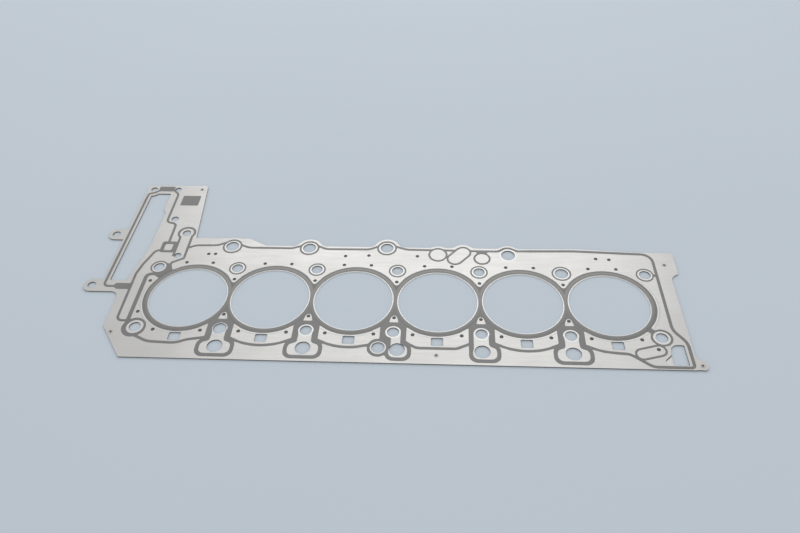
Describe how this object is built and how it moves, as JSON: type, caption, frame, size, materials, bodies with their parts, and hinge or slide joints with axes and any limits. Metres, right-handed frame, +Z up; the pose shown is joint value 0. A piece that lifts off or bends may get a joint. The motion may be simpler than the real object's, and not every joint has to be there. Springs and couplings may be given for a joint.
{
  "type": "cylinder head gasket",
  "caption": "Flat layered steel gasket that seals a straight engine's cylinder head to its block, with round bore openings, printed sealing tracks and a chain-case extension at one end.",
  "frame": {"origin": "middle of the footprint's bounding box, on the face that lies on the engine block", "axes": "+X along the row of cylinders, away from the chain case; +Y away from the oil drains; +Z up, to the cylinder head"},
  "size_m": [0.661, 0.2766, 0.0017],
  "materials": {
    "carrier_steel": "satin",
    "sheet_steel": "satin",
    "track_elastomer": "matte",
    "rivet_steel": "satin"
  },
  "bodies": {
    "root": {"carrier_sheet": "carrier_steel", "head_side_sheet": "sheet_steel", "seal_network": "track_elastomer", "bolt_hole_rings": "track_elastomer", "extension_pad": "track_elastomer", "layer_rivets": "rivet_steel"}
  },
  "joints": []
}
